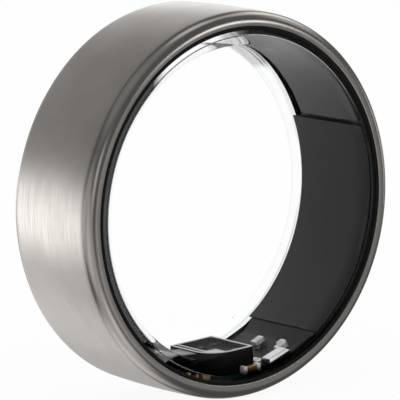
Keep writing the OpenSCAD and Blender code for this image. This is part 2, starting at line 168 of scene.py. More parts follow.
# Geometry Nodes: a tree with named inputs, and the keys by which a modifier sets them
def newTree(name, source, inputs):
    tree = bpy.data.node_groups.new(name, "GeometryNodeTree")
    face = tree.interface
    face.new_socket(source, in_out="INPUT", socket_type="NodeSocketGeometry")
    keys = {}
    for title, kind in (inputs | {"Finish": "Material"}).items():
        keys[title] = face.new_socket(title, in_out="INPUT", socket_type="NodeSocket" + kind).identifier
    face.new_socket("Result", in_out="OUTPUT", socket_type="NodeSocketGeometry")
    return tree, keys, tree.nodes.new("NodeGroupInput").outputs


# The last steps of a tree make its shape real and give it its finish
def endTree(tree, given, shape):
    real = addNode(tree, "GeometryNodeRealizeInstances", {"Geometry": shape})
    finish = addNode(tree, "GeometryNodeSetMaterial",
                     {"Geometry": real.outputs["Geometry"], "Material": given["Finish"]})
    addNode(tree, "NodeGroupOutput", {"Result": finish.outputs["Geometry"]})


# A section, drawn as a loop with the radius along x and the depth along y, goes round the ring
def makeRevolveTree():
    tree, keys, given = newTree("revolve", "Section", {"Guide radius": "Float", "Steps": "Int"})
    circle = addNode(tree, "GeometryNodeCurvePrimitiveCircle",
                     {"Radius": given["Guide radius"], "Resolution": given["Steps"]})
    line = addNode(tree, "GeometryNodeMeshToCurve", {"Mesh": given["Section"]})
    sweep = addNode(tree, "GeometryNodeCurveToMesh",
                    {"Curve": circle.outputs["Curve"], "Profile Curve": line.outputs["Curve"]})
    stand = addNode(tree, "GeometryNodeTransform",
                    {"Geometry": sweep.outputs["Mesh"], "Rotation": (math.radians(90), 0, 0)})
    endTree(tree, given, stand.outputs["Geometry"])
    return tree, keys


# A box of the given size stands on each point, turned as the point's facing says
def makeBoxTree():
    tree, keys, given = newTree("boxes", "Places", {"Length": "Float", "Width": "Float", "Height": "Float"})
    size = addNode(tree, "ShaderNodeCombineXYZ",
                   {"X": given["Length"], "Y": given["Width"], "Z": given["Height"]})
    box = addNode(tree, "GeometryNodeMeshCube", {"Size": size.outputs["Vector"]})
    facing = addNode(tree, "GeometryNodeInputNamedAttribute", {"Name": "facing"}, data_type="FLOAT_VECTOR")
    turn = addNode(tree, "FunctionNodeEulerToRotation", {"Euler": facing.outputs["Attribute"]})
    spots = addNode(tree, "GeometryNodeInstanceOnPoints", {
        "Points": given["Places"], "Instance": box.outputs["Mesh"], "Rotation": turn.outputs["Rotation"]})
    endTree(tree, given, spots.outputs["Instances"])
    return tree, keys


revolveTree, revolveKeys = makeRevolveTree()
boxTree, boxKeys = makeBoxTree()


def runTree(name, mesh, tree, keys, values, material):
    draft = bpy.data.objects.new(name + "Draft", mesh)
    bpy.context.scene.collection.objects.link(draft)
    shape = draft.modifiers.new("shape", "NODES")
    shape.node_group = tree
    for title, value in (values | {"Finish": material}).items():
        shape[keys[title]] = value
    return draft


def revolve(name, loop, material, steps, sharpAngle=meshing["sharp"]):
    guide = loop[0][0]
    count = len(loop)
    drawn = bpy.data.meshes.new(name + "Section")
    drawn.from_pydata([(r - guide, d, 0) for r, d in loop], [(i, (i + 1) % count) for i in range(count)], [])
    values = {"Guide radius": guide, "Steps": steps}
    mesh = bakedMesh(runTree(name, drawn, revolveTree, revolveKeys, values, material))
    faceOutwards(mesh)
    return finishPiece(name, mesh, material, sharpAngle)


# A CAD node's loose triangles, welded into flat faces
def weldedNode(node):
    work = bmesh.new()
    work.from_mesh(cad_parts[node].data)
    bmesh.ops.remove_doubles(work, verts=work.verts, dist=meshing["weld"])
    bmesh.ops.dissolve_limit(work, angle_limit=math.radians(meshing["flat"]), verts=work.verts,
                             edges=work.edges)
    return work


# The separate boxes of a CAD node: middle, turn round the ring and size of each
def boxesOf(node):
    work = weldedNode(node)
    left = set(work.verts)
    found = []
    while left:
        todo = [left.pop()]
        corners = []
        sides = []
        while todo:
            corner = todo.pop()
            corners.append(corner.co.copy())
            for edge in corner.link_edges:
                other = edge.other_vert(corner)
                sides.append(other.co - corner.co)
                if other in left:
                    left.remove(other)
                    todo.append(other)
        middle = sum(corners, Vector()) / len(corners)
        along = Vector((-middle.z, 0, middle.x)).normalized()
        side = max(sides, key=lambda s: s.normalized().dot(along))
        turn = math.atan2(side.z, side.x)
        level = [Matrix.Rotation(turn, 3, "Y") @ (c - middle) for c in corners]
        size = [max(p[k] for p in level) - min(p[k] for p in level) for k in range(3)]
        found.append((middle, turn, size))
    work.free()
    return found


# Rounds the edges of a draft, which then stands for its CAD node
def finishPart(draft, node, name, edge, material):
    bevel = draft.modifiers.new("edge", "BEVEL")
    bevel.width = edge * mm
    bevel.segments = meshing["bevelSteps"]
    bevel.limit_method = "ANGLE"
    bevel.angle_limit = math.radians(meshing["bevelFrom"])
    handOver(finishPiece(name, bakedMesh(draft), material), node)


def roundedCopy(node, name, edge, material):
    work = weldedNode(node)
    mesh = bpy.data.meshes.new(name)
    work.to_mesh(mesh)
    work.free()
    finishPart(finishPiece(name + "Draft", mesh, material), node, name, edge, material)


# Equal small boxes of a CAD node, remade by the tree. Some of them stand crosswise
def repeatedBoxes(node, name, edge, material):
    digits = meshing["samePlace"]  # of the place in metres, so the boxes come in the same order each run
    found = sorted(boxesOf(node), key=lambda item: (round(item[0].x, digits), round(item[0].y, digits)))
    length, width, height = found[0][2]
    mesh = bpy.data.meshes.new(name + "Places")
    mesh.from_pydata([middle for middle, turn, size in found], [], [])
    facing = mesh.attributes.new("facing", "FLOAT_VECTOR", "POINT")
    for k, (middle, turn, size) in enumerate(found):
        across = math.radians(90) if abs(size[0] - length) > meshing["sameSize"] else 0
        turned = Matrix.Rotation(-turn, 3, "Y") @ Matrix.Rotation(across, 3, "Z")
        facing.data[k].vector = tuple(turned.to_euler("XYZ"))
    values = {"Length": length, "Width": width, "Height": height}
    finishPart(runTree(name, mesh, boxTree, boxKeys, values, material), node, name, edge, material)


# Shader nodes: each of these adds one node and gives its result
def calculate(tree, operation, first, second):
    return addNode(tree, "ShaderNodeMath", {0: first, 1: second}, operation=operation).outputs[0]


# Goes from first to last while the source goes from start to end
def remap(tree, source, start, end, first=0, last=1, way="SMOOTHSTEP"):
    values = {"Value": source, "From Min": start, "From Max": end, "To Min": first, "To Max": last}
    return addNode(tree, "ShaderNodeMapRange", values, interpolation_type=way).outputs["Result"]


def mixColors(tree, share, first, second):
    paintedDarkEnds = [c if isinstance(c, bpy.types.NodeSocket) else (*c, 1) for c in (first, second)]
    values = {"Factor": share, "A": paintedDarkEnds[0], "B": paintedDarkEnds[1]}
    return addNode(tree, "ShaderNodeMix", values, data_type="RGBA").outputs["Result"]


def mixShaders(tree, share, first, second):
    return addNode(tree, "ShaderNodeMixShader", {0: share, 1: first, 2: second}).outputs[0]


def addNoise(tree, place, perMm, detail, rough=0.5):
    values = {"Vector": place, "Scale": perMm, "Detail": detail, "Roughness": rough}
    return addNode(tree, "ShaderNodeTexNoise", values).outputs["Fac"]


# Shader node groups, and the helpers that they share
def newGroup(name, inputs, outputs):
    group = bpy.data.node_groups.new(name, "ShaderNodeTree")
    for title, value in inputs.items():
        socket = group.interface.new_socket(title, in_out="INPUT", socket_type="NodeSocketFloat")
        socket.default_value = value
    for title in outputs:
        group.interface.new_socket(title, in_out="OUTPUT", socket_type="NodeSocketFloat")
    return group, group.nodes.new("NodeGroupInput").outputs


def placeInMm(tree):
    coords = addNode(tree, "ShaderNodeTexCoord")
    values = {0: coords.outputs["Object"], "Scale": 1 / mm}
    return addNode(tree, "ShaderNodeVectorMath", values, operation="SCALE").outputs[0]


# Streaks that run round the ring: fine lines across its width and slow change along it
def makeStreaks():
    group, given = newGroup("streaks", {"Per mm": 12, "Along per mm": 0.35}, ["Fine", "Broad"])
    place = placeInMm(group)
    along = given["Along per mm"]
    scale = addNode(group, "ShaderNodeCombineXYZ", {"X": along, "Y": given["Per mm"], "Z": along})
    drawn = addNode(group, "ShaderNodeVectorMath", {0: place, 1: scale.outputs[0]}, operation="MULTIPLY")
    addNode(group, "NodeGroupOutput", {
        "Fine": addNoise(group, drawn.outputs[0], perMm=1, detail=3, rough=0.65),
        "Broad": addNoise(group, place, perMm=0.45, detail=2)})
    return group


# Even fine grain for moulded and printed surfaces
def makeGrain():
    group, given = newGroup("grain", {"Per mm": 20}, ["Fine", "Broad"])
    place = placeInMm(group)
    addNode(group, "NodeGroupOutput", {
        "Fine": addNoise(group, place, perMm=given["Per mm"], detail=2),
        "Broad": addNoise(group, place, perMm=0.8, detail=3)})
    return group


# A fade along one axis: 0 up to the edge, 1 from the end of the fade on
def makeFade(name, axis):
    group, given = newGroup(name, {"Edge mm": 0, "Fade mm": 1}, ["Share"])
    place = addNode(group, "ShaderNodeSeparateXYZ", {0: placeInMm(group)}).outputs[axis]
    end = calculate(group, "ADD", given["Edge mm"], given["Fade mm"])
    addNode(group, "NodeGroupOutput", {"Share": remap(group, place, given["Edge mm"], end)})
    return group


streaks = makeStreaks()
grain = makeGrain()
depthFade = makeFade("depthFade", "Y")
heightFade = makeFade("heightFade", "Z")
sideFade = makeFade("sideFade", "X")


def newMaterial(name):
    mat = bpy.data.materials.new(name)
    mat.use_nodes = True
    return mat, mat.node_tree, mat.node_tree.nodes["Principled BSDF"]


# The material shows its shader, but lets this share of the rays straight through
def letThrough(tree, share, shader):
    clear = addNode(tree, "ShaderNodeBsdfTransparent").outputs[0]
    feed(tree, tree.nodes["Material Output"], {"Surface": mixShaders(tree, share, shader, clear)})


# Noise seldom leaves the middle of its range, so that part of it is drawn out
noiseReach = dict(low=0.3, high=0.7)


def spread(tree, noise, low, high):
    return remap(tree, noise, noiseReach["low"], noiseReach["high"], low, high, "LINEAR")


# A surface with grain or streaks: color is its mean, vary the share by which it changes
def surface(name, color, rough, metal=0, vary=0.08, roughVary=0.05, pattern=grain, perMm=20, along=0.35,
            bump=0.08, depth=0.004, specular=0.5):
    mat, tree, bsdf = newMaterial(name)
    values = {"Per mm": perMm}
    if pattern is streaks:
        values["Along per mm"] = along
    drawn = addNode(tree, "ShaderNodeGroup", values, node_tree=pattern).outputs
    dark = [c * (1 - vary) for c in color]
    light = [min(1, c * (1 + vary)) for c in color]
    relief = addNode(tree, "ShaderNodeBump",
                     {"Strength": bump, "Distance": depth * mm, "Height": drawn["Fine"]})
    feed(tree, bsdf, {
        "Base Color": mixColors(tree, spread(tree, drawn["Broad"], 0, 1), dark, light),
        "Roughness": spread(tree, drawn["Fine"], rough - roughVary, rough + roughVary),
        "Metallic": metal, "Specular IOR Level": specular, "Normal": relief.outputs["Normal"]})
    return mat


def shareOf(tree, fade, edge, length):
    values = {"Edge mm": edge, "Fade mm": length}
    return addNode(tree, "ShaderNodeGroup", values, node_tree=fade).outputs["Share"]


# Painted shade: the black film and the battery's wrap are painted darker towards the front, and the wrap
# towards its foot too, in mm
filmShade = dict(frontEdge=-3.45, footHeight=6.5, footLength=4)


def shadedFilm(name, color, rough, frontShadeColor, frontShadeLength, footShadeColor=None, **more):
    mat = surface(name, color, rough, **more)
    tree = mat.node_tree
    bsdf = tree.nodes["Principled BSDF"]
    shown = bsdf.inputs["Base Color"].links[0].from_socket
    # painted shade: the wrap is painted darker towards its foot
    if footShadeColor:
        above = shareOf(tree, heightFade, filmShade["footHeight"], filmShade["footLength"])
        shown = mixColors(tree, above, footShadeColor, shown)
    # painted shade: darker towards the front edge
    behind = shareOf(tree, depthFade, filmShade["frontEdge"], frontShadeLength)
    feed(tree, bsdf, {"Base Color": mixColors(tree, behind, frontShadeColor, shown)})
    return mat


# Places where the clear resin looks different. Each step is (axis, where it starts, where it is full) in mm,
# and a place is where all of its steps are full
resinPlaces = dict(
    aboveSensor=[("Z", -9.4, -6.5)],
    frontMouth=[("Y", -3.5, -3.9)],
    rearMouth=[("Y", 3.5, 3.9)],
    leftEnd=[("X", -6.0, -7.4), ("Y", -3.86, -3.93)],
    rightEnd=[("X", -2.5, 0.5), ("Y", -3.95, -3.975)],
    tailFoot=[("Z", -10.6, -11.0), ("Y", 3.3, 3.45)],
    topRear=[("Z", 7.4, 8.0), ("Y", 3.6, 3.8), ("X", 3.9, 5.0)],
)


def addResinMasks(tree):
    coords = addNode(tree, "ShaderNodeTexCoord")
    split = addNode(tree, "ShaderNodeSeparateXYZ", {0: coords.outputs["Object"]}).outputs
    masks = {}
    for name, steps in resinPlaces.items():
        shares = [remap(tree, split[axis], start * mm, end * mm) for axis, start, end in steps]
        masks[name] = shares[0]
        for share in shares[1:]:
            masks[name] = calculate(tree, "MULTIPLY", masks[name], share)
    return masks


# Clear resin. Its mouths are polished. Its ends are painted near black, a painted reflection of the dark
# inside of the band that real resin mirrors there, and above the sensor it is painted darker where seen edge
# on, painted dark lines that stand in for refraction
resinLook = dict(ior=1.012, coatIor=1.3, coatRough=0.02, grazingFrom=0.85, clear=(0.985, 0.99, 0.99),
                 grazingShade=(0.45, 0.45, 0.45), end=(0.004, 0.004, 0.0042), topRear=(0.45, 0.45, 0.45))


def clearResin():
    look = resinLook
    mat, tree, bsdf = newMaterial("clearResin")
    masks = addResinMasks(tree)
    facing = addNode(tree, "ShaderNodeLayerWeight").outputs["Facing"]
    # painted dark lines: the resin is tinted darker where seen edge on, standing in for the dark that
    # refraction shows
    grazingShade = remap(tree, facing, look["grazingFrom"], 1, way="LINEAR")  # seen edge on
    grazingShade = calculate(tree, "MULTIPLY", grazingShade, masks["aboveSensor"])
    # painted reflection: the left and right ends and the tail's foot are painted near black, for the dark
    # inside of the band that real resin shows there
    paintedDarkEnds = calculate(tree, "MAXIMUM", masks["leftEnd"], masks["rightEnd"])
    paintedDarkEnds = calculate(tree, "MAXIMUM", paintedDarkEnds, masks["tailFoot"])
    mouths = calculate(tree, "MAXIMUM", masks["frontMouth"], masks["rearMouth"])
    color = mixColors(tree, grazingShade, look["clear"], look["grazingShade"])
    color = mixColors(tree, masks["topRear"], color, look["topRear"])
    feed(tree, bsdf, {
        "Base Color": mixColors(tree, paintedDarkEnds, color, look["end"]), "Roughness": 0, "Transmission Weight": 1,
        "IOR": look["ior"], "Coat IOR": look["coatIor"], "Coat Roughness": look["coatRough"],
        "Coat Weight": calculate(tree, "MULTIPLY", mouths, masks["aboveSensor"])})
    path = addNode(tree, "ShaderNodeLightPath").outputs
    bounced = calculate(tree, "MAXIMUM", path["Is Shadow Ray"], path["Is Diffuse Ray"])
    letThrough(tree, bounced, bsdf.outputs[0])  # so what lies under the resin gets its light
    return mat


# Glass that bends light, for the fine crests: tinted dark on the left, painted dark lines, and clear on the
# right, where it bends the light into bright ones
crestLook = dict(dark=(0.3, 0.3, 0.3), bright=(0.97, 0.975, 0.975), turnAt=-0.5, turnLength=1.5, rough=0.02,
                 ior=1.5)


def crestGlass():
    look = crestLook
    mat, tree, bsdf = newMaterial("crestGlass")
    side = shareOf(tree, sideFade, look["turnAt"], look["turnLength"])
    feed(tree, bsdf, {
        "Base Color": mixColors(tree, side, look["dark"], look["bright"]), "Roughness": look["rough"],
        "Transmission Weight": 1, "IOR": look["ior"]})
    return mat


# Smoked window over the sensor
windowLook = dict(color=(0.01, 0.01, 0.012), rough=0.08, specular=0.1, clearness=0.93)


def smokedGlass():
    look = windowLook
    mat, tree, bsdf = newMaterial("smokedGlass")
    feed(tree, bsdf, {
        "Base Color": (*look["color"], 1), "Roughness": look["rough"],
        "Specular IOR Level": look["specular"]})
    letThrough(tree, look["clearness"], bsdf.outputs[0])
    return mat


finishes = dict(
    bandMetal=surface("bandMetal", (0.52, 0.49, 0.465), rough=0.34, metal=1, vary=0.05, pattern=streaks,
                      perMm=9, along=0.3, bump=0.2, depth=0.002),
    edgeMetal=surface("edgeMetal", (0.52, 0.49, 0.465), rough=0.22, metal=1, vary=0.03, roughVary=0.03,
                      pattern=streaks, perMm=9, along=0.3, bump=0.06, depth=0.002),
    # the band's metal painted paler for the lips' inner faces: a painted highlight
    brightLip=surface("brightLip", (0.9, 0.9, 0.895), rough=0.3, metal=1, vary=0.01, roughVary=0.02,
                      pattern=streaks, perMm=9, bump=0.02, depth=0.002),
    sealant=surface("sealant", (0.004, 0.004, 0.004), rough=0.35, perMm=8, specular=0.15),
    # blackFilm and batteryFilm carry painted shade towards the front, and batteryFilm towards its foot too
    blackFilm=shadedFilm("blackFilm", (0.036, 0.036, 0.036), rough=0.5, frontShadeColor=(0.012, 0.012, 0.012),
                        frontShadeLength=1.6, perMm=3, vary=0.03, roughVary=0.01, bump=0.004, specular=0.1),
    liningFilm=surface("liningFilm", (0.004, 0.004, 0.004), rough=0.4, perMm=12, specular=0.05),
    batteryFilm=shadedFilm("batteryFilm", (0.1, 0.1, 0.1), rough=0.3, frontShadeColor=(0.012, 0.012, 0.012),
                          frontShadeLength=2.2, footShadeColor=(0.03, 0.03, 0.03), perMm=3, vary=0.04, roughVary=0.01,
                          bump=0.004, specular=0.25),
    circuitFilm=surface("circuitFilm", (0.022, 0.022, 0.022), rough=0.42, perMm=8, bump=0.03, specular=0.15),
    tailFilm=surface("tailFilm", (0.2, 0.2, 0.2), rough=0.35, perMm=8, bump=0.03),
    amberSheet=surface("amberSheet", (0.3, 0.2, 0.07), rough=0.4),
    copper=surface("copper", (0.62, 0.3, 0.17), rough=0.3, metal=1, pattern=streaks, perMm=14),
    ferrite=surface("ferrite", (0.05, 0.05, 0.053), rough=0.55, perMm=25),
    pouch=surface("pouch", (0.42, 0.42, 0.43), rough=0.38, metal=1, perMm=4),
    nickel=surface("nickel", (0.6, 0.6, 0.61), rough=0.22, metal=1, vary=0.05, perMm=8),
    tin=surface("tin", (0.68, 0.68, 0.67), rough=0.35, metal=0.4, perMm=9),
    boardMask=surface("boardMask", (0.006, 0.014, 0.01), rough=0.35, perMm=10, specular=0.1),
    chip=surface("chip", (0.01, 0.01, 0.011), rough=0.5, perMm=30, bump=0.2, specular=0.1),
    ceramic=surface("ceramic", (0.5, 0.49, 0.47), rough=0.4, perMm=12),
    gold=surface("gold", (0.42, 0.31, 0.1), rough=0.3, metal=0.9, vary=0.15, perMm=6),
    # contact pads: gold painted darker than the capacitor's, painted shade for where they sit at the sensor
    # block's foot
    padGold=surface("padGold", (0.2, 0.15, 0.06), rough=0.35, metal=0.8, vary=0.15, perMm=6),
    barrier=surface("barrier", (0.003, 0.003, 0.003), rough=0.42, perMm=25, specular=0.06),
    border=surface("border", (0.62, 0.62, 0.6), rough=0.4, perMm=15),
    # the light sensor's die, painted far paler than silicon: painted light that makes up for the shade in
    # its recess
    silicon=surface("silicon", (0.93, 0.92, 0.93), rough=0.3, perMm=4),
    greenDie=surface("greenDie", (0.03, 0.05, 0.03), rough=0.3, perMm=8, specular=0.1),
    redDie=surface("redDie", (0.05, 0.03, 0.03), rough=0.3, perMm=8, specular=0.1),
    infraredDie=surface("infraredDie", (0.035, 0.03, 0.035), rough=0.3, perMm=8, specular=0.1),
    clearResin=clearResin(),
    crestGlass=crestGlass(),
    smokedGlass=smokedGlass(),
)
print("materials ready:", len(finishes))

# Metal band
band = dict(crownRadius=cadHigh.x, halfWidth=cadHigh.y, crownDrop=0.075 * mm, shoulderReach=0.783 * mm,
            shoulderDepth=0.831 * mm, shoulderStart=14, wall=0.535 * mm, lipDepth=0.495 * mm,
            lipThick=0.55 * mm, lipRound=0.05 * mm, lipSkin=0.01 * mm, crownSteps=12, shoulderSteps=16,
            lipSteps=10, steps=360, sharp=20)
shoulderTurn = math.radians(band["shoulderStart"])
shoulderLine = band["halfWidth"] - band["shoulderDepth"] * (1 - math.sin(shoulderTurn))
liningSeat = band["crownRadius"] - band["wall"]
lipRadius = liningSeat - band["lipDepth"]


def bandProfile():
    b = band
    land = b["crownRadius"] - b["crownDrop"] - b["shoulderReach"] * math.cos(shoulderTurn)
    half = []
    for k in range(b["crownSteps"]):
        share = k / b["crownSteps"]
        half.append((b["crownRadius"] - b["crownDrop"] * share ** 2, shoulderLine * share))
    for k in range(b["shoulderSteps"] + 1):
        a = math.radians(b["shoulderStart"] + (90 - b["shoulderStart"]) * k / b["shoulderSteps"])
        half.append((land + b["shoulderReach"] * math.cos(a),
                     b["halfWidth"] - b["shoulderDepth"] * (1 - math.sin(a))))
    for k in range(b["lipSteps"] + 1):
        a = math.radians(90 + 90 * k / b["lipSteps"])
        half.append((lipRadius + b["lipRound"] * (1 + math.cos(a)),
                     b["halfWidth"] - b["lipRound"] * (1 - math.sin(a))))
    lipBack = b["halfWidth"] - b["lipThick"]
    half += [(lipRadius, lipBack), (liningSeat, lipBack)]
    return half + [(r, -d) for r, d in reversed(half[1:])]


shell = revolve("bandShell", bandProfile(), finishes["bandMetal"], band["steps"], band["sharp"])
shell.data.materials.append(finishes["edgeMetal"])
shell.data.materials.append(finishes["brightLip"])
# The lips' inner faces get the paler metal, a painted highlight
for face in shell.data.polygons:
    middle = face.center
    if math.hypot(middle.x, middle.z) < lipRadius + band["lipSkin"]:
        face.material_index = 2  # the lips' inner faces are turned bright
    elif abs(middle.y) > shoulderLine:
        face.material_index = 1  # shoulders and edges are finished finer than the brushed outside
handOver(shell, "outer_shell")
print("band ready")

# Clear moulding, which fills the ring from the bore to the lining and rises to a flat over the sensor
moulding = dict(boreRadius=10.3 * mm, plateauRadius=9.5 * mm, plateauFloor=9.0 * mm, plateauAngle=3.5,
                plateauFacing=0.5, mouthRadius=11.275 * mm, endRadius=11.36 * mm, fillRadius=12.085 * mm,
                halfWidth=arcOf("inner_moulding")["high"], channelHalf=3.49 * mm, comfortLength=1.0 * mm,
                blend=0.1 * mm, mouthSteps=14, boreSteps=13, steps=360, sharp=30)


# The smaller of two lengths, with a soft change over from one to the other
def softMin(a, b, reach):
    near = max(reach - abs(a - b), 0) / reach
    return min(a, b) - near * near * reach / 4


def mouldingSection(angle):
    m = moulding
    facing = math.cos(angle - math.radians(m["plateauAngle"]))
    flat = m["plateauRadius"] / facing if facing > m["plateauFacing"] else m["endRadius"]
    mouth = []
    for k in range(m["mouthSteps"] + 1):
        turn = math.radians(90 - 90 * k / m["mouthSteps"])
        mouth.append((m["comfortLength"] * (1 - math.sin(turn)) - m["halfWidth"], math.cos(turn)))
    straight = m["halfWidth"] - m["comfortLength"]
    bore = [(straight * (2 * k / m["boreSteps"] - 1), 1) for k in range(1, m["boreSteps"])]
    inner = []
    for depth, share in mouth + bore + [(-depth, share) for depth, share in reversed(mouth)]:
        sleeve = m["mouthRadius"] - (m["mouthRadius"] - m["boreRadius"]) * share
        raised = max(m["mouthRadius"] - (m["mouthRadius"] - m["plateauFloor"]) * share, flat)
        inner.append((softMin(sleeve, raised, m["blend"] * share), depth))
    rear = [(m["endRadius"], m["halfWidth"]), (m["endRadius"], m["channelHalf"]),
            (m["fillRadius"], m["channelHalf"])]
    return inner + rear + [(radius, -depth) for radius, depth in reversed(rear)]


resin = sweepSections("clearMoulding", mouldingSection, 0, fullTurn, moulding["steps"],
                      finishes["clearResin"], moulding["sharp"])
handOver(resin, "inner_moulding")

# Crest of each mouth, where the rounding catches the light as a fine line. The line is drawn by a thin glass
# bead added along it, a painted highlight, painted dark on the left. It runs out on the right
crest = dict(turn=75, radius=0.042 * mm, thinnest=0.004 * mm, points=12, start=118, end=352, taper=25,
             steps=300)


def makeCrest(name, side):
    m, a = moulding, math.radians(crest["turn"])
    radius = m["mouthRadius"] - (m["mouthRadius"] - m["boreRadius"]) * math.cos(a)
    depth = side * (m["halfWidth"] - m["comfortLength"] * (1 - math.sin(a)))
    start, end, taper = (math.radians(crest[key]) for key in ("start", "end", "taper"))
    turns = [fullTurn * k / crest["points"] for k in range(crest["points"])]

    def section(angle):
        share = min(1, (angle - start) / taper, (end - angle) / taper)
        thick = crest["thinnest"] + (crest["radius"] - crest["thinnest"]) * max(0, share)
        return [(radius + thick * math.cos(t), depth + thick * math.sin(t)) for t in turns]

    piece = sweepSections(name, section, start, end, crest["steps"], finishes["crestGlass"])
    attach(piece, "root")


makeCrest("frontCrest", -1)
makeCrest("rearCrest", 1)
print("moulding ready")

# Thin bands that follow the ring, remade smooth. Corners are in mm
smoothBands = dict(
    front_seal=dict(name="frontBead", finish="sealant", corner=0.03, steps=360),
    rear_seal=dict(name="rearBead", finish="clearResin", corner=0.03, steps=360),
    insulating_lining=dict(name="lining", finish="liningFilm", corner=0.02, steps=360),
    liner_film=dict(name="blackFilm", finish="blackFilm", corner=0.02, steps=180),
    charging_coil=dict(name="coilPad", finish="copper", corner=0.02, steps=180),
    ferrite_sheet=dict(name="magneticSheet", finish="ferrite", corner=0.02, steps=180),
)


def smoothBand(node, name, finish, corner, steps):
    reach = arcOf(node)
    loop = bandSection(reach["inner"], reach["outer"], reach["low"], reach["high"], corner * mm)
    start, end, material = reach["start"], reach["end"], finishes[finish]
    if end - start > fullTurn * meshing["wholeFrom"]:
        piece = revolve(name, loop, material, steps)
    else:
        piece = sweepSections(name, lambda angle: loop, start, end, steps, material)
    handOver(piece, node)


for node, values in smoothBands.items():
    smoothBand(node, **values)

# Wrap over the battery: a face with folded sides
wrap = dict(fold=0.12 * mm, thick=0.05 * mm, foldSteps=6, steps=200, sharp=50)


def makeWrap():
    reach = arcOf("battery_wrap", 0)
    lo, hi, t, f = reach["low"], reach["high"], wrap["thick"], wrap["fold"]
    top, foot = reach["inner"], reach["outer"]
    outside = [(foot, lo)]
    inside = [(foot, lo + t)]
    for k in range(wrap["foldSteps"] + 1):
        a = math.radians(90 * k / wrap["foldSteps"])
        outside.append((top + f * (1 - math.sin(a)), lo + f * (1 - math.cos(a))))
        inside.append((top + t + (f - t) * (1 - math.sin(a)), lo + t + (f - t) * (1 - math.cos(a))))
    middle = lo + hi
    outside += [(r, middle - d) for r, d in reversed(outside)]
    inside += [(r, middle - d) for r, d in reversed(inside)]
    loop = outside + list(reversed(inside))
    piece = sweepSections("batteryWrap", lambda angle: loop, reach["start"], reach["end"], wrap["steps"],
                          finishes["batteryFilm"], wrap["sharp"])
    handOver(piece, "battery_wrap")


makeWrap()

# Flexible circuit: along the floor, then up a short ramp to lie under the black film
circuit = dict(thick=0.1 * mm, rampLength=1.3 * mm, rampSoft=0.12, steps=420, sharp=50)


def makeCircuit():
    reach = arcOf("flex_circuit")
    floorRadius = reach["outer"] - circuit["thick"]
    highRadius = reach["inner"]
    rampTurn = circuit["rampLength"] / floorRadius
    rampEnd = arcOf("liner_film")["start"]
    soft = circuit["rampSoft"]

    def section(angle):
        share = (angle - (rampEnd - rampTurn)) / rampTurn
        share = min(1, max(0, share * (1 + soft) - soft / 2))
        share -= soft * math.sin(fullTurn * share) / fullTurn
        inner = floorRadius + (highRadius - floorRadius) * share
        return bandSection(inner, inner + circuit["thick"], reach["low"], reach["high"])

    piece = sweepSections("flexCircuit", section, reach["start"], reach["end"], circuit["steps"],
                          finishes["circuitFilm"], circuit["sharp"])
    handOver(piece, "flex_circuit")


makeCircuit()
print("films ready")

# Chips and small parts, remade with rounded edges: name, rounding in mm and finish
smallParts = dict(
    protection_chip=("protectionChip", 0.03, "chip"), processor_chip=("processorChip", 0.03, "chip"),
    memory_chip=("memoryChip", 0.03, "chip"), power_chip=("powerChip", 0.03, "chip"),
    motion_sensor=("motionSensor", 0.03, "chip"), temperature_sensor=("temperatureSensor", 0.03, "ceramic"),
    crystal_base=("crystalBase", 0.02, "chip"), crystal_can=("crystalCan", 0.035, "nickel"),
    gold_capacitor_body=("goldBody", 0.03, "gold"), power_inductor=("powerInductor", 0.05, "ferrite"),
    sensor_board=("sensorBoard", 0.02, "boardMask"), sensor_block=("sensorBlock", 0.03, "barrier"),
    sensor_frame=("sensorBorder", 0.012, "border"), photodiode=("lightDie", 0.02, "silicon"),
    green_led=("greenLight", 0.03, "greenDie"), red_led=("redLight", 0.03, "redDie"),
    infrared_led=("infraredLight", 0.03, "infraredDie"), sensor_flex=("sensorTail", 0.02, "tailFilm"),
)
for node, (name, edge, finish) in smallParts.items():
    roundedCopy(node, name, edge, finishes[finish])
repeatedParts = dict(
    capacitor_bodies=("capacitorBodies", 0.02, "ceramic"), capacitor_ends=("capacitorEnds", 0.04, "tin"),
    gold_capacitor_ends=("goldEnds", 0.04, "tin"), chip_resistors=("resistors", 0.02, "chip"),
)
for node, (name, edge, finish) in repeatedParts.items():
    repeatedBoxes(node, name, edge, finishes[finish])

# Nodes that keep their own mesh
keptNodes = dict(battery_cell="pouch", battery_tabs="nickel", protection_board="boardMask",
                 stiffeners="amberSheet", contact_pads="padGold", antenna_strip="copper",
                 sensor_window="smokedGlass")
for node, finish in keptNodes.items():
    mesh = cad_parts[node].data
    mesh.materials.clear()
    mesh.materials.append(finishes[finish])
print("small parts ready:", len(smallParts) + len(repeatedParts) + len(keptNodes))

# Floor, which looks bright but isn't mirrored: shiny surfaces show the pale lower half of the world instead
floorPlan = dict(size=3.0, drop=0.01 * mm, color=0.86, rough=0.9, specular=0.1, glow=0.93)


def makeFloor():
    z = cadLow.z - floorPlan["drop"]
    s = floorPlan["size"]
    c = floorPlan["color"]
    mat, tree, bsdf = newMaterial("paleFloor")
    feed(tree, bsdf, {
        "Base Color": (c, c, c, 1), "Roughness": floorPlan["rough"],
        "Specular IOR Level": floorPlan["specular"]})
    path = addNode(tree, "ShaderNodeLightPath").outputs
    seen = calculate(tree, "MAXIMUM", path["Is Camera Ray"], path["Is Transmission Ray"])
    glow = addNode(tree, "ShaderNodeEmission").outputs[0]
    lit = mixShaders(tree, calculate(tree, "MULTIPLY", seen, floorPlan["glow"]), bsdf.outputs[0], glow)
    letThrough(tree, path["Is Glossy Ray"], lit)
    floor = addMesh("floor", [(-s, -s, z), (s, -s, z), (s, s, z), (-s, s, z)], [(0, 1, 2, 3)], mat)


makeFloor()

# Light: an even world, in which shiny surfaces mirror a dim studio. Its rear half is brighter than the front
studio = dict(ambient=0.95, rearHigh=0.31, rearLow=0.78, rearFrom=-0.45, rearTo=0.25, front=0.11,
              turnFrom=0.35, turnTo=0.85)
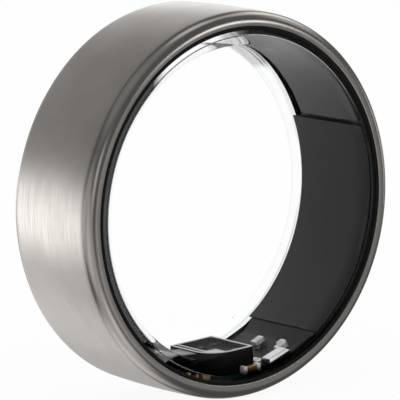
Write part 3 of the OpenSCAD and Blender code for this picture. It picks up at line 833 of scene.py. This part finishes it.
# Soft light areas of that studio: direction, angles in degrees where they are full and where they end
lightAreas = [
    dict(towards=(-0.58, 0.88, -0.16), inner=2, outer=18, gain=2.1),
    dict(towards=(-0.10, 0.83, -0.62), inner=4, outer=20, gain=0.4),
    dict(towards=(0.62, 0.77, 0.13), inner=3, outer=16, gain=1.05),
    dict(towards=(0.50, 0.77, 0.35), inner=5, outer=28, gain=0.35),
    dict(towards=(0.10, 0.99, 0.12), inner=6, outer=20, gain=1.6),
    dict(towards=(0.42, 0.90, 0.13), inner=5, outer=15, gain=1.0),
    dict(towards=(0.79, 0.19, 0.57), inner=4, outer=18, gain=1.2),
    dict(towards=(0.62, -0.02, 0.78), inner=3, outer=14, gain=0.6),
    dict(towards=(0.85, -0.22, 0.47), inner=3, outer=14, gain=0.5),
    dict(towards=(0.25, -0.10, 0.96), inner=5, outer=18, gain=0.7),
    dict(towards=(-0.40, -0.30, 0.85), inner=15, outer=40, gain=0.14),
    dict(towards=(0.61, -0.78, 0.13), inner=3, outer=11, gain=2.2),
    dict(towards=(0.64, -0.76, -0.11), inner=5, outer=14, gain=0.05),
    dict(towards=(0.33, -0.90, -0.28), inner=4, outer=20, gain=0.35),
    dict(towards=(0.74, -0.56, -0.38), inner=6, outer=20, gain=0.16),
    dict(towards=(0.97, -0.16, -0.05), inner=3, outer=12, gain=0.75),
    dict(towards=(0.82, 0.55, -0.16), inner=4, outer=14, gain=0.8),
    dict(towards=(-0.44, -0.88, 0.12), inner=3, outer=14, gain=0.65),
    dict(towards=(-0.90, -0.15, -0.15), inner=14, outer=38, gain=0.38),
    dict(towards=(-0.60, -0.60, -0.5), inner=12, outer=40, gain=0.4),
    dict(towards=(-0.92, 0.35, -0.16), inner=5, outer=22, gain=0.35),
    dict(towards=(-0.25, 0.30, -0.90), inner=8, outer=26, gain=0.25),
    dict(towards=(-0.20, 0.05, -0.96), inner=12, outer=36, gain=0.62),
    dict(towards=(-0.12, -0.64, -0.76), inner=4, outer=22, gain=0.6),
]


def makeWorld():
    world = bpy.data.worlds.new("studio")
    world.use_nodes = True
    bpy.context.scene.world = world
    tree, s = world.node_tree, studio
    direction = addNode(tree, "ShaderNodeTexCoord").outputs["Generated"]
    split = addNode(tree, "ShaderNodeSeparateXYZ", {0: direction}).outputs
    rear = remap(tree, split["Z"], s["rearFrom"], s["rearTo"], s["rearLow"], s["rearHigh"])
    level = remap(tree, split["Y"], s["turnFrom"], s["turnTo"], s["front"], rear)
    for area in lightAreas:
        values = {0: direction, 1: Vector(area["towards"]).normalized()}
        near = addNode(tree, "ShaderNodeVectorMath", values, operation="DOT_PRODUCT").outputs["Value"]
        inner, outer = (math.cos(math.radians(area[key])) for key in ("inner", "outer"))
        level = calculate(tree, "ADD", level, remap(tree, near, outer, inner, 0, area["gain"]))
    mirrored = tree.nodes["Background"]
    even = addNode(tree, "ShaderNodeBackground", {"Strength": s["ambient"]})
    white = addNode(tree, "ShaderNodeBackground")
    feed(tree, mirrored, {"Strength": level})
    for back in (mirrored, even, white):
        back.inputs["Color"].default_value = (1, 1, 1, 1)
    path = addNode(tree, "ShaderNodeLightPath").outputs
    straight = calculate(tree, "MAXIMUM", path["Is Camera Ray"], path["Is Transmission Ray"])
    shown = mixShaders(tree, path["Is Glossy Ray"], even.outputs[0], mirrored.outputs[0])
    shown = mixShaders(tree, straight, shown, white.outputs[0])
    feed(tree, tree.nodes["World Output"], {"Surface": shown})


makeWorld()

# A soft lamp above, which shiny surfaces don't mirror
lamp = dict(towards=(-0.35, -0.3, 0.9), away=0.35, size=0.2, radiance=0.8)


def makeLamp():
    data = bpy.data.lights.new("high", "AREA")
    data.shape = "SQUARE"
    data.size = lamp["size"]
    data.energy = lamp["radiance"] * math.pi * lamp["size"] ** 2
    towards = Vector(lamp["towards"]).normalized()
    item = bpy.data.objects.new("high", data)
    item.visible_glossy = False
    item.location = towards * lamp["away"]
    item.rotation_euler = towards.to_track_quat("Z", "Y").to_euler()
    bpy.context.scene.collection.objects.link(item)


makeLamp()

# Camera at the photograph's viewing angle
view = dict(azimuth=-39.145, elevation=9.225, away=252.2 * mm, focalPixels=3888.8, picture=400,
            centreX=204.17, centreY=198.82, sensor=36, nearest=10 * mm)


def makeCamera():
    az, el = math.radians(view["azimuth"]), math.radians(view["elevation"])
    right = Vector((math.cos(az), math.sin(az), 0))
    back = Vector((math.sin(az) * math.cos(el), -math.cos(az) * math.cos(el), math.sin(el)))
    up = back.cross(right)
    data = bpy.data.cameras.new("camera")
    data.sensor_width = view["sensor"]
    data.lens = view["focalPixels"] * view["sensor"] / view["picture"]
    data.shift_x = (view["picture"] / 2 - view["centreX"]) / view["picture"]
    data.shift_y = (view["centreY"] - view["picture"] / 2) / view["picture"]
    data.clip_start = view["nearest"]
    item = bpy.data.objects.new("camera", data)
    turn = Matrix((right, up, back)).transposed().to_4x4()
    item.matrix_world = Matrix.Translation(back * view["away"]) @ turn
    bpy.context.scene.collection.objects.link(item)
    bpy.context.scene.camera = item


makeCamera()
bpy.context.scene.view_settings.view_transform = "Standard"
print("stage ready")
